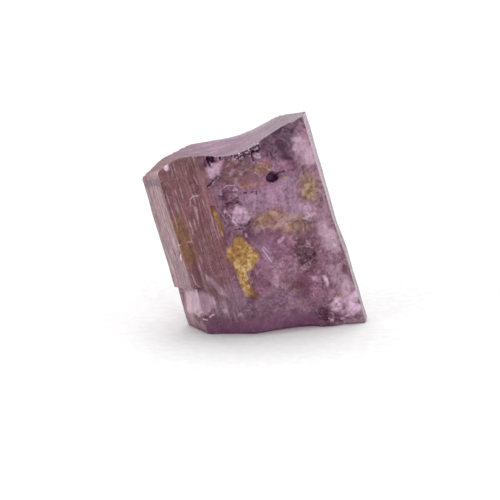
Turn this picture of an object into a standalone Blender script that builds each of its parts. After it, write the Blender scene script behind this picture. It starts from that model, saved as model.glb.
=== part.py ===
"""A short broken prism of purple scapolite, standing on its broken base and leaning to the left.

The crystal is worked out in its own frame in millimetres: Z runs up the prism from the middle
of its axis, and X and Y run across it. Places on the prism's sides are given by how far they
are along the outline from the front ridge, positive to the right as the front is seen, and by
their height along Z. The object is then turned, leaned and seated on the ground at Z = 0.
"""
import math

import bmesh
import bpy
import numpy as np
from mathutils import Matrix, Vector, noise

MM = 0.001

# Half sizes of the prism across its axis
HALF_WIDTH = 4.25
HALF_DEPTH = 3.30

# How the prism stands: turn about its own axis, lean to the left, lean to the back, in degrees
TURN = 27.0
LEAN_LEFT = 16.5
LEAN_BACK = 4.0
AXIS_MIDDLE = Vector((-0.8262, 0.0112, 4.75))

# Corners of the cross-section from the front ridge round to the right, with the number of
# columns of faces from each corner to the next
SECTION = (
    ("front ridge", -2.17, -HALF_DEPTH, 28),
    ("right bevel start", 3.62, -HALF_DEPTH, 5),
    ("right edge", HALF_WIDTH, -2.43, 12),
    ("back right", HALF_WIDTH, 2.10, 6),
    ("back", 2.40, HALF_DEPTH, 7),
    ("back left", 0.00, HALF_DEPTH, 14),
    ("left edge", -HALF_WIDTH, 0.15, 7),
    ("striated face start", -HALF_WIDTH, -2.05, 16),
)

# Reach over which the outward direction eases round a corner
CORNER_EASE = 0.6

# Rings of faces over the underside, the sides and the broken top
UNDERSIDE_RINGS = 7
SIDE_RINGS = 30
TOP_RINGS = 7
CAP_MIDDLE = np.array((0.15, -0.10))

# How fast dents in the sides die away inwards over the top and the underside
DENT_REACH = 6

# The broken top: x, y and height where its surface is known
TOP_HEIGHTS = (
    (-4.25, 0.00, 3.85), (-4.25, -2.05, 4.15), (-3.40, -2.50, 4.50), (-2.17, -3.30, 4.30),
    (-1.20, -3.30, 3.95), (-0.20, -3.30, 3.80), (1.10, -3.30, 4.00), (2.50, -3.30, 4.28),
    (4.25, -2.33, 4.50), (4.25, 0.90, 4.24), (4.25, 2.10, 3.98), (2.60, 3.20, 3.65),
    (1.20, 3.30, 3.85), (0.00, 3.30, 4.05), (-1.20, 2.40, 4.12), (-2.50, 1.40, 4.15),
    (0.20, 0.00, 3.60), (-2.20, -0.80, 3.95),
)

# The underside: how far its broken rim stands off the ground, how long the breaks are, and
# where the flat seat ends as a share of the way out to the rim
RIM_LIFT = 0.22
RIM_BREAK_SIZE = 1.6
SEAT_SHARE = 0.72

# Lower edge of the sides: distance along the outline, the height below which they cut in, and
# how fast they do
UNDERCUT = (
    (-4.67, -3.90, 0.10), (-2.60, -3.85, 0.20), (-1.80, -3.50, 0.35), (-0.60, -3.95, 0.50),
    (0.60, -4.25, 0.60), (1.60, -4.30, 0.65), (2.60, -4.50, 0.70), (3.30, -4.85, 0.60),
    (3.80, -5.70, 0.40), (5.60, -6.40, 0.10), (7.50, -6.30, 0.10), (11.30, -5.30, 0.40),
    (15.90, -4.20, 0.40), (21.25, -3.95, 0.30),
)

# Striated face: place and rise of each long step along the outline, half width of a step's
# slope, and the heights between which the steps fade out downwards
STRIATION_STEPS = (
    (-2.42, 0.10), (-1.93, -0.06), (-1.62, 0.05), (-1.30, -0.05), (-0.78, 0.07),
    (-0.48, -0.06), (-0.20, 0.06),
)
STEP_RUN = 0.07
STRIATION_FADE = (-3.2, -0.9)

# The bell-shaped notch in the striated face; its wall runs between two shares of its width
NOTCH_PLACE = (-1.05, 2.15)
NOTCH_HALF_WIDTH = 0.29
NOTCH_WALL = (0.6, 1.1)
NOTCH_FOOT = 0.60
NOTCH_DEPTH = 0.14

# The ledge across the left strip: its height and slope, where it ends along the outline, how
# far the sides step in below it, and how far down and how much they come out again
LEDGE_HEIGHT = -1.95
LEDGE_SLOPE = 0.22
LEDGE_END = (-2.40, -1.60)
LEDGE_DEPTH = 0.30
LEDGE_RETURN = (0.3, 1.4)
LEDGE_RETURN_SHARE = 0.7

# The earth-filled cavity on the front: stations down its middle with half widths, how far it
# rounds off beyond them at its top and foot, and its wall as shares of its width
CAVITY = ((0.55, -0.35, 0.45), (0.62, -1.05, 0.76), (0.50, -1.75, 0.62), (0.42, -2.50, 0.36),
          (0.42, -3.05, 0.24))
CAVITY_TOP_ROUNDING = 0.42
CAVITY_FOOT_ROUNDING = 0.25
CAVITY_WALL = (0.72, 1.12)
CAVITY_DEPTH = 0.30

# The groove beside the ridge: top and foot, half width, wall as shares of it, depth
GROOVE = ((-0.30, 1.65), (-0.16, -0.15))
GROOVE_HALF_WIDTH = 0.14
GROOVE_WALL = (0.4, 1.2)
GROOVE_DEPTH = 0.20

# Etch hollows on the front: place along the outline, height, half width, half height, depth
HOLLOWS = (
    (0.75, 1.62, 0.42, 0.28, 0.30), (0.50, 2.15, 0.36, 0.30, 0.20), (1.10, 0.80, 0.48, 0.36, 0.24),
    (3.25, 2.07, 0.36, 0.27, 0.32), (0.35, 3.95, 0.34, 0.26, 0.20), (1.95, 3.66, 0.42, 0.24, 0.16),
    (2.80, 3.45, 0.34, 0.28, 0.20), (1.90, 0.38, 0.70, 0.24, 0.12), (3.75, -0.62, 0.85, 0.28, 0.12),
    (3.55, -2.30, 0.70, 0.75, 0.12), (4.85, 0.85, 0.55, 0.75, 0.07), (2.30, 2.85, 1.10, 0.34, 0.10),
    (3.72, -5.25, 0.28, 0.32, 0.34), (4.55, -5.70, 0.40, 0.30, 0.22), (1.85, -2.85, 0.45, 0.55, 0.08),
)

# A hollow's wall runs between these shares of its half sizes
HOLLOW_WALL = (0.45, 1.15)

# The sloping chip under the right end of the top rim: its left and right ends each with a run,
# its foot, its height and its greatest depth
RIM_CHIP_LEFT = (2.80, 3.50)
RIM_CHIP_RIGHT = (4.65, 5.15)
RIM_CHIP_FOOT = 2.85
RIM_CHIP_HEIGHT = 1.4
RIM_CHIP_DEPTH = 0.34

# Growth steps and chips on the hidden sides, in the same form as the hollows
BACK_HOLLOWS = (
    (8.60, -4.60, 1.30, 1.10, 0.45), (9.60, 2.10, 0.55, 1.70, 0.14), (12.20, -0.80, 0.60, 2.40, 0.16),
    (14.60, 2.90, 0.90, 0.70, 0.28), (17.40, -2.60, 0.80, 0.90, 0.30), (18.30, 1.50, 0.50, 1.90, 0.12),
)

# Striations of the hidden sides: where they begin along the outline, their depth and width,
# and how their width and length vary
BACK_START = (7.0, 8.0)
BACK_STRIATION_DEPTH = 0.07
BACK_STRIATION_WIDTH = 0.62
BACK_STRIATION_SWAY = (0.8, 1.7)
BACK_STRIATION_LENGTHS = (0.9, 2.3)

# Crumbly rock along the lower right edge: its left and right ends, its upper edge, depth, the
# share of it that is even, and the size of its lumps
CRUMBLE_LEFT = (3.3, 3.9)
CRUMBLE_RIGHT = (4.9, 6.2)
CRUMBLE_TOP = (-5.1, -4.4)
CRUMBLE_DEPTH = 0.16
CRUMBLE_EVEN = 0.6
CRUMBLE_SIZE = 0.42

# Faint unevenness everywhere
UNEVENNESS = 0.035
UNEVENNESS_SIZE = 1.3

# One number for each field of noise, which shifts it away from the others
CRUMBLE_SEED = 3
UNEVENNESS_SEED = 5
RIM_SEED = 7
SEED_SHIFT = Vector((17.3, 5.1, 9.7))


def ramp(value, low, high):
    """Ease from 0 at low to 1 at high."""
    share = np.clip((value - low) / (high - low), 0.0, 1.0)
    return share * share * (3.0 - 2.0 * share)


def hollow(along, height, place, half_sizes, depth):
    """A rounded hollow with a nearly flat floor."""
    reach = np.hypot((along - place[0]) / half_sizes[0], (height - place[1]) / half_sizes[1])
    return depth * (1.0 - ramp(reach, *HOLLOW_WALL))


def grain(points, size, seed):
    """Smooth noise between -1 and 1 at each point, with features about one size across."""
    return np.array([noise.noise(Vector(point) / size + SEED_SHIFT * seed) for point in points])


def outline():
    """Points of the cross-section at each column, and each one's distance from the ridge."""
    points = []
    distances = []
    walked = 0.0
    for index, (_, x, y, columns) in enumerate(SECTION):
        _, next_x, next_y, _ = SECTION[(index + 1) % len(SECTION)]
        length = math.hypot(next_x - x, next_y - y)
        for column in range(columns):
            share = column / columns
            points.append((x + (next_x - x) * share, y + (next_y - y) * share))
            distances.append(walked + length * share)
        walked += length
    return np.array(points), np.array(distances), walked


def outward_directions(points):
    """Outward direction at each outline point, eased round the corners."""
    ring = np.vstack([points, points[:1]])
    steps = np.hypot(*np.diff(ring, axis=0).T)
    walked = np.concatenate([[0.0], np.cumsum(steps)])
    total = walked[-1]

    def point_at(distance):
        wrapped = distance % total
        return np.stack([np.interp(wrapped, walked, ring[:, axis]) for axis in (0, 1)], axis=-1)

    chord = point_at(walked[:-1] + CORNER_EASE) - point_at(walked[:-1] - CORNER_EASE)
    direction = np.stack([chord[:, 1], -chord[:, 0]], axis=-1)
    return direction / np.hypot(direction[:, 0], direction[:, 1])[:, None]


def smooth_surface(controls):
    """A smooth height function of x and y that passes through the control heights."""
    table = np.array(controls)
    places, heights = table[:, :2], table[:, 2]

    def bulge(gap):
        return gap ** 2 * np.log(gap + 1e-9)

    count = len(table)
    flat = np.hstack([np.ones((count, 1)), places])
    gaps = np.linalg.norm(places[:, None] - places[None], axis=-1)
    system = np.block([[bulge(gaps), flat], [flat.T, np.zeros((3, 3))]])
    weights = np.linalg.solve(system, np.concatenate([heights, np.zeros(3)]))

    def height_at(x, y):
        spots = np.stack([x, y], axis=-1)
        reach = np.linalg.norm(spots[..., None, :] - places, axis=-1)
        return bulge(reach) @ weights[:count] + weights[count] + spots @ weights[count + 1:]

    return height_at


def stance():
    """Turn and lean of the prism in the world."""
    turn = Matrix.Rotation(math.radians(TURN), 3, "Z")
    back = Matrix.Rotation(math.radians(-LEAN_BACK), 3, "X")
    left = Matrix.Rotation(math.radians(-LEAN_LEFT), 3, "Y")
    return left @ back @ turn


def ground_height(x, y, lift):
    """Height in the crystal's frame at which its underside is lift above the ground."""
    row = stance()[2]
    return (lift - AXIS_MIDDLE.z - row[0] * x - row[1] * y) / row[2]


def striations(along, height):
    """Long steps down the striated face."""
    rise = np.zeros_like(along)
    for place, step in STRIATION_STEPS:
        rise += step * ramp(along, place - STEP_RUN, place + STEP_RUN)
    return rise * ramp(height, *STRIATION_FADE)


def notch(along, height):
    """The bell-shaped notch: a shallow channel with a round top, running out downwards."""
    across = (along - NOTCH_PLACE[0]) / NOTCH_HALF_WIDTH
    over = np.maximum(height - NOTCH_PLACE[1], 0.0) / NOTCH_HALF_WIDTH
    inside = 1.0 - ramp(np.hypot(across, over), *NOTCH_WALL)
    return NOTCH_DEPTH * inside * ramp(height, NOTCH_FOOT, NOTCH_PLACE[1])


def ledge(along, height):
    """The step in across the left strip, coming out again towards the ground."""
    beside = 1.0 - ramp(along, *LEDGE_END)
    under = 1.0 - ramp(height, LEDGE_HEIGHT - LEDGE_SLOPE, LEDGE_HEIGHT)
    back_out = LEDGE_RETURN_SHARE * ramp(LEDGE_HEIGHT - height, *LEDGE_RETURN)
    return LEDGE_DEPTH * beside * under * (1.0 - back_out)


def cavity(along, height):
    """The cavity on the front that earth fills, wide above and narrow below."""
    stations = np.array(CAVITY)
    middle = np.interp(-height, -stations[:, 1], stations[:, 0])
    half = np.interp(-height, -stations[:, 1], stations[:, 2])
    across = np.abs(along - middle) / half
    above = np.maximum(height - stations[0, 1], 0.0) / CAVITY_TOP_ROUNDING
    below = np.maximum(stations[-1, 1] - height, 0.0) / CAVITY_FOOT_ROUNDING
    return CAVITY_DEPTH * (1.0 - ramp(np.hypot(across, above + below), *CAVITY_WALL))


def groove(along, height):
    """The narrow groove beside the ridge."""
    (top_along, top), (foot_along, foot) = GROOVE
    share = np.clip((top - height) / (top - foot), 0.0, 1.0)
    middle = top_along + (foot_along - top_along) * share
    beyond = np.maximum(height - top, 0.0) + np.maximum(foot - height, 0.0)
    reach = np.hypot(along - middle, beyond) / GROOVE_HALF_WIDTH
    return GROOVE_DEPTH * (1.0 - ramp(reach, *GROOVE_WALL))


def rim_chip(along, height):
    """The sloping facet broken from under the right end of the top rim."""
    between = ramp(along, *RIM_CHIP_LEFT) * (1.0 - ramp(along, *RIM_CHIP_RIGHT))
    return RIM_CHIP_DEPTH * between * ramp(height, RIM_CHIP_FOOT, RIM_CHIP_FOOT + RIM_CHIP_HEIGHT)


def undercut(along, height):
    """How far the broken lower part cuts in below the sides' lower edge."""
    places, edges, slopes = np.array(UNDERCUT).T
    below = np.maximum(np.interp(along, places, edges) - height, 0.0)
    return np.interp(along, places, slopes) * below


def back_growth(along, height):
    """Striations of the hidden sides, which fade before they reach the visible ones."""
    sway, sway_rate = BACK_STRIATION_SWAY
    height_rate, along_rate = BACK_STRIATION_LENGTHS
    wave = np.sin(along * math.tau / BACK_STRIATION_WIDTH + sway * np.sin(along * sway_rate))
    broken = ramp(np.sin(height * height_rate + along * along_rate), -0.9, 0.2)
    return BACK_STRIATION_DEPTH * ramp(along, *BACK_START) * broken * (0.5 + 0.5 * wave)


def crumble(along, height, points):
    """Lumpy rock broken from the lower right edge."""
    beside = ramp(along, *CRUMBLE_LEFT) * (1.0 - ramp(along, *CRUMBLE_RIGHT))
    lumps = CRUMBLE_EVEN + grain(points, CRUMBLE_SIZE, CRUMBLE_SEED)
    return CRUMBLE_DEPTH * beside * (1.0 - ramp(height, *CRUMBLE_TOP)) * lumps


def side_depth(along, height, points):
    """How far each place on the sides lies inside the plain prism."""
    depth = striations(along, height) + notch(along, height) + ledge(along, height)
    depth += cavity(along, height) + groove(along, height) + rim_chip(along, height)
    for place_along, place_height, half_width, half_height, deep in HOLLOWS + BACK_HOLLOWS:
        depth += hollow(along, height, (place_along, place_height), (half_width, half_height), deep)
    depth += undercut(along, height) + back_growth(along, height) + crumble(along, height, points)
    depth += UNEVENNESS * grain(points, UNEVENNESS_SIZE, UNEVENNESS_SEED)
    return depth


def signed_distance(along, total):
    """Distances along the outline, counted backwards on the two faces left of the ridge."""
    corners = [Vector(corner[1:3]) for corner in SECTION[-2:] + SECTION[:1]]
    left_faces = (corners[1] - corners[0]).length + (corners[2] - corners[1]).length
    return np.where(along > total - left_faces - 0.001, along - total, along)


def ring_share(ring):
    """How far out a ring of the underside or the top lies: 0 at its middle, 1 on the rim."""
    underside = ring / UNDERSIDE_RINGS
    top = (UNDERSIDE_RINGS + SIDE_RINGS + TOP_RINGS - ring) / TOP_RINGS
    return min(underside, top, 1.0)


def crystal_points(section, along, outward, ring):
    """Points of one ring, counted from the middle of the underside to the middle of the top."""
    top_height = smooth_surface(TOP_HEIGHTS)
    up_share = np.clip((ring - UNDERSIDE_RINGS) / SIDE_RINGS, 0.0, 1.0)
    low = ground_height(section[:, 0], section[:, 1], 0.0)
    high = top_height(section[:, 0], section[:, 1])
    height = low + (high - low) * up_share
    depth = side_depth(along, height, np.column_stack([section, height]))
    share = ring_share(ring)
    spots = CAP_MIDDLE + (section - CAP_MIDDLE) * share
    spots -= outward * depth[:, None] * share ** DENT_REACH
    if ring <= UNDERSIDE_RINGS:
        rim = np.column_stack([section, np.zeros_like(along)])
        broken = 0.5 + 0.5 * grain(rim, RIM_BREAK_SIZE, RIM_SEED)
        lift = RIM_LIFT * broken * ramp(share, SEAT_SHARE, 1.0)
        height = ground_height(spots[:, 0], spots[:, 1], lift)
    elif ring >= UNDERSIDE_RINGS + SIDE_RINGS:
        height = top_height(spots[:, 0], spots[:, 1])
    return np.column_stack([spots, height])


def crystal_mesh():
    """A closed ball of faces, each ring and column moved to its place on the crystal."""
    section, along, total = outline()
    along = signed_distance(along, total)
    outward = outward_directions(section)
    columns = len(section)
    rings = UNDERSIDE_RINGS + SIDE_RINGS + TOP_RINGS
    table = np.array([crystal_points(section, along, outward, ring) for ring in range(rings + 1)])

    ball = bmesh.new()
    bmesh.ops.create_uvsphere(ball, u_segments=columns, v_segments=rings, radius=1.0)
    for vert in ball.verts:
        ring = round(math.acos(max(-1.0, min(1.0, -vert.co.z))) / math.pi * rings)
        column = round(math.atan2(vert.co.y, vert.co.x) / math.tau * columns) % columns
        vert.co = Vector(table[ring, column]) * MM
    bmesh.ops.triangulate(ball, faces=ball.faces[:])
    bmesh.ops.recalc_face_normals(ball, faces=ball.faces[:])
    mesh = bpy.data.meshes.new("scapolite_crystal")
    ball.to_mesh(mesh)
    ball.free()
    return mesh


def scapolite_material():
    """Clear violet mineral, seen through its own depth."""
    material = bpy.data.materials.new("violet_scapolite")
    material.use_nodes = True
    shader = material.node_tree.nodes["Principled BSDF"]
    shader.inputs["Base Color"].default_value = (0.36, 0.19, 0.29, 1.0)
    shader.inputs["Roughness"].default_value = 0.22
    shader.inputs["Metallic"].default_value = 0.0
    shader.inputs["IOR"].default_value = 1.55
    shader.inputs["Transmission Weight"].default_value = 0.6
    return material


def build():
    """Clear the scene and stand the crystal on the ground."""
    for thing in list(bpy.data.objects):
        bpy.data.objects.remove(thing)
    collection = bpy.data.collections.new("scapolite")
    bpy.context.scene.collection.children.link(collection)
    mesh = crystal_mesh()
    mesh.materials.append(scapolite_material())
    crystal = bpy.data.objects.new("scapolite_crystal", mesh)
    crystal.matrix_world = Matrix.Translation(AXIS_MIDDLE * MM) @ stance().to_4x4()
    collection.objects.link(crystal)


build()
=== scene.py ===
"""Looks of the violet scapolite crystal: its fine surface, stains, flaws and plain soft light.

The crystal's form follows the solid of the frame. It is worked out in the crystal's own frame in
millimetres: Z runs up the prism from the middle of its axis, X and Y run across it, and places
on the sides are given by how far they are along the outline from the front ridge, positive to
the right as the front is seen, and by their height along Z.
"""
import math

import bpy
import numpy as np
from mathutils import Matrix, Vector, noise


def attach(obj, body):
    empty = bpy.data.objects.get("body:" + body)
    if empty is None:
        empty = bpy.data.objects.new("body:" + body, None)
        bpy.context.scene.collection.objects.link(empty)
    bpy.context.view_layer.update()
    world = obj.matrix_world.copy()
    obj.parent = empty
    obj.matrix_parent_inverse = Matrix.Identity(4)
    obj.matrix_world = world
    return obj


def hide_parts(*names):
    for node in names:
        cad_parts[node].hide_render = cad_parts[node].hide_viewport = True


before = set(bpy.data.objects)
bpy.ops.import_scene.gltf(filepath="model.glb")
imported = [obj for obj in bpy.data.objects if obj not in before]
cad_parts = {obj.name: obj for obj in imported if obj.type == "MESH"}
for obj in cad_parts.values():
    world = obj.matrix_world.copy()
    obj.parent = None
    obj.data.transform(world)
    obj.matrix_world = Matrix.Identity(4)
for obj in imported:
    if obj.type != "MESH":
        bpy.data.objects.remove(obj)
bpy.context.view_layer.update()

MM = 0.001

# Half sizes of the prism across its axis
HALF_WIDTH = 4.25
HALF_DEPTH = 3.30

# How the prism stands: turn about its own axis, lean to the left, lean to the back, in degrees
TURN = 27.0
LEAN_LEFT = 16.5
LEAN_BACK = 4.0
AXIS_MIDDLE = Vector((-0.8262, 0.0112, 4.75))

# Corners of the cross-section from the front ridge round to the right, with the number of
# columns of faces from each corner to the next
SECTION = (
    ("front ridge", -2.17, -HALF_DEPTH, 124),
    ("right bevel start", 3.62, -HALF_DEPTH, 22),
    ("right edge", HALF_WIDTH, -2.43, 40),
    ("back right", HALF_WIDTH, 2.10, 18),
    ("back", 2.40, HALF_DEPTH, 22),
    ("back left", 0.00, HALF_DEPTH, 48),
    ("left edge", -HALF_WIDTH, 0.15, 40),
    ("striated face start", -HALF_WIDTH, -2.05, 64),
)
CORNER_EASE = 0.6
NEAR = 0.001
UNDERSIDE_RINGS = 16
SIDE_RINGS = 196
TOP_RINGS = 26
CAP_MIDDLE = np.array((0.15, -0.10))
DENT_REACH = 6

# The broken top: x, y and height where its surface is known
TOP_HEIGHTS = (
    (-4.25, 0.00, 3.85), (-4.25, -2.05, 4.15), (-3.40, -2.50, 4.50), (-2.17, -3.30, 4.30),
    (-1.20, -3.30, 3.95), (-0.20, -3.30, 3.80), (1.10, -3.30, 4.00), (2.50, -3.30, 4.28),
    (4.25, -2.33, 4.50), (4.25, 0.90, 4.24), (4.25, 2.10, 3.98), (2.60, 3.20, 3.65),
    (1.20, 3.30, 3.85), (0.00, 3.30, 4.05), (-1.20, 2.40, 4.12), (-2.50, 1.40, 4.15),
    (0.20, 0.00, 3.60), (-2.20, -0.80, 3.95),
)
RIM_LIFT = 0.22
RIM_BREAK_SIZE = 1.6
RIM_RADIUS = 0.04
SOFT_RIM_RADIUS = 0.22
SOFT_RIM_START = -4.7
SOFT_RIM_END = (-1.6, -0.7)
SOFT_RIM_BLEND = 0.42
SEAT_SHARE = 0.72

# Lower edge of the sides: distance along the outline, height below which they cut in, slope, and
# the height over which their colour gives way to the painted shade of the undercut underside
UNDERCUT = (
    (-4.67, -3.90, 0.10), (-2.60, -3.85, 0.20), (-1.80, -3.50, 0.35), (-0.60, -3.95, 0.50),
    (0.60, -4.25, 0.60), (1.60, -4.30, 0.65), (2.60, -4.50, 0.70), (3.30, -4.85, 0.60),
    (3.80, -5.70, 0.40), (5.60, -6.40, 0.10), (7.50, -6.30, 0.10), (11.30, -5.30, 0.40),
    (15.90, -4.20, 0.40), (21.25, -3.95, 0.30),
)
UNDER_SHADE_BLEND = 0.38

# The larger relief of the sides, as in the solid but with crisper walls
STRIATION_STEPS = (
    (-2.42, 0.10), (-1.93, -0.06), (-1.62, 0.05), (-1.30, -0.05), (-0.78, 0.07),
    (-0.48, -0.06), (-0.20, 0.06),
)
STEP_RUN = 0.035
STRIATION_FADE = (-3.2, -0.9)
NOTCH_PLACE = (-1.05, 2.15)
NOTCH_HALF_WIDTH = 0.29
NOTCH_WALL = (0.8, 1.0)
NOTCH_FOOT = 0.60
NOTCH_DEPTH = 0.14
LEDGE_HEIGHT = -1.95
LEDGE_SLOPE = 0.12
LEDGE_END = (-2.40, -1.60)
LEDGE_DEPTH = 0.30
LEDGE_RETURN = (0.3, 1.4)
LEDGE_RETURN_SHARE = 0.7
CAVITY = ((0.55, -0.35, 0.45), (0.62, -1.05, 0.76), (0.50, -1.75, 0.62), (0.42, -2.50, 0.36),
          (0.42, -3.05, 0.24))
CAVITY_TOP_ROUNDING = 0.42
CAVITY_FOOT_ROUNDING = 0.25
CAVITY_WALL = (0.84, 1.06)
CAVITY_DEPTH = 0.26
GROOVE = ((-0.30, 1.65), (-0.16, -0.15))
GROOVE_HALF_WIDTH = 0.14
GROOVE_WALL = (0.4, 1.2)
GROOVE_DEPTH = 0.20
HOLLOWS = (
    (0.75, 1.62, 0.42, 0.28, 0.3), (0.5, 2.15, 0.36, 0.3, 0.2), (1.1, 0.8, 0.48, 0.36, 0.24),
    (3.25, 2.07, 0.36, 0.27, 0.32), (0.35, 3.95, 0.34, 0.26, 0.2), (1.95, 3.66, 0.42, 0.24, 0.16),
    (2.8, 3.45, 0.34, 0.28, 0.2), (1.9, 0.38, 0.7, 0.24, 0.12), (3.75, -0.62, 0.85, 0.28, 0.12),
    (3.55, -2.3, 0.7, 0.75, 0.12), (4.85, 0.85, 0.55, 0.75, 0.07), (2.3, 2.85, 1.1, 0.34, 0.1),
    (3.72, -5.25, 0.28, 0.32, 0.34), (4.55, -5.7, 0.4, 0.3, 0.22), (1.85, -2.85, 0.45, 0.55, 0.08),
)
BACK_HOLLOWS = (
    (8.6, -4.6, 1.3, 1.1, 0.45), (9.6, 2.1, 0.55, 1.7, 0.14), (12.2, -0.8, 0.6, 2.4, 0.16),
    (14.6, 2.9, 0.9, 0.7, 0.28), (17.4, -2.6, 0.8, 0.9, 0.3), (18.3, 1.5, 0.5, 1.9, 0.12),
)
HOLLOW_WALL = (0.45, 1.15)
RIM_CHIP_LEFT = (2.80, 3.50)
RIM_CHIP_RIGHT = (4.65, 5.15)
RIM_CHIP_FOOT = 2.85
RIM_CHIP_HEIGHT = 1.4
RIM_CHIP_DEPTH = 0.34
RIGHT_EDGE_START = (5.9, 6.7)
RIGHT_EDGE_END = (9.0, 11.0)
RIGHT_EDGE_HEIGHTS = (-2.0, 3.0)
RIGHT_EDGE_TRIM = 0.06
BACK_START = (7.0, 8.0)
BACK_STRIATION_DEPTH = 0.07
BACK_STRIATION_WIDTH = 0.62
BACK_STRIATION_SWAY = (0.8, 1.7)
BACK_STRIATION_LENGTHS = (0.9, 2.3)
BACK_STRIATION_GAPS = (-0.9, 0.2)
CRUMBLE_LEFT = (3.3, 3.9)
CRUMBLE_RIGHT = (4.9, 6.2)
CRUMBLE_TOP = (-5.1, -4.4)
CRUMBLE_DEPTH = 0.16
CRUMBLE_EVEN = 0.6
CRUMBLE_SIZE = 0.42
CRUMBLE_SEED = 3
RIM_SEED = 7
SEED_SHIFT = Vector((17.3, 5.1, 9.7))

# Layers of smooth unevenness: depth, size and seed of each
UNEVENNESS = ((0.035, 1.3, 5),)
FRONT_GRAIN = ((0.026, 0.34, 9), (0.014, 0.13, 12))
EARTH_GRAIN = ((0.05, 0.22, 16), (0.03, 0.09, 18))
OVERALL_GRAIN = ((0.006, 0.09, 14),)
SWAY_ALONG = ((0.16, 0.45, 31), (0.08, 0.15, 33))
SWAY_HEIGHT = ((0.16, 0.45, 35), (0.08, 0.15, 37))
FRONT_START = (-0.1, 0.15)
FRONT_END = (5.4, 5.8)

# Hair-fine lines down the striated face: ranges of their place, half width, rise and upper end,
# then of their length, and the runs over which their lower and upper ends fade
HAIR_SEED = 21
HAIR_COUNT = 110
HAIR_RANGES = ((-2.46, -0.05), (0.020, 0.055), (-0.030, 0.036), (0.5, 4.6))
HAIR_LENGTHS = (1.0, 5.0)
HAIR_ENDS = (0.3, 0.1)
HAIR_FADE = (-3.4, -1.4)

# Long ripples over the broken top: how far and how fast they sway, then each one's depth, rate
# across and lean
TOP_SWAY = (0.25, 0.55)
TOP_RIPPLES = ((0.007, 11.0, 0.0), (0.004, 23.0, 1.0))

# Fine relief: zones of small broken facets, as place, height, half sizes, facet size, depth, and
# the share of each zone's half size over which they fade
FACET_EDGE = 0.35
FACET_ZONES = (
    (0.7, 1.6, 0.85, 1.1, 0.3, 0.16), (1.1, 0.7, 0.6, 0.5, 0.36, 0.14),
    (4.8, -5.35, 1.3, 0.75, 0.34, 0.3), (3.7, -2.2, 0.95, 1.0, 0.18, 0.09),
    (2.3, 3.6, 1.15, 0.36, 0.2, 0.12), (0.3, 3.85, 0.5, 0.4, 0.2, 0.12),
    (0.5, -1.6, 0.95, 1.7, 0.18, 0.07), (4.6, -0.4, 0.6, 0.6, 0.28, 0.1),
    (5.2, -2.0, 0.6, 1.5, 0.18, 0.05), (2.2, -2.6, 1.2, 1.2, 0.22, 0.05),
    (-2.6, -3.45, 0.9, 0.45, 0.26, 0.12), (-0.4, -3.9, 1.1, 0.45, 0.26, 0.09),
    (4.2, -3.6, 0.7, 0.6, 0.24, 0.08), (2.9, 2.9, 1.6, 0.5, 0.24, 0.05),
    (8.6, -4.6, 1.6, 1.3, 0.4, 0.2), (14.6, 2.9, 1.1, 0.9, 0.34, 0.18),
    (17.4, -2.6, 1.1, 1.2, 0.36, 0.18), (12.2, -0.8, 0.8, 2.6, 0.25, 0.07),
)

# Rounded lumps that stand out of the face: place, height, half sizes, rise
LUMP_EDGE = 0.8
LUMPS = (
    (0.78, 2.25, 0.46, 0.2, 0.1), (0.42, 1.02, 0.16, 0.42, 0.07), (4.4, 0.02, 0.16, 0.42, 0.08),
    (-1.95, 4.22, 0.26, 0.24, 0.07), (4.35, -3.75, 0.18, 0.36, 0.08),
    (-1.55, -1.55, 0.16, 0.62, 0.05), (-2.75, -0.25, 0.1, 0.3, 0.05), (3.25, -0.6, 0.2, 0.16, 0.06),
)
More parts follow.
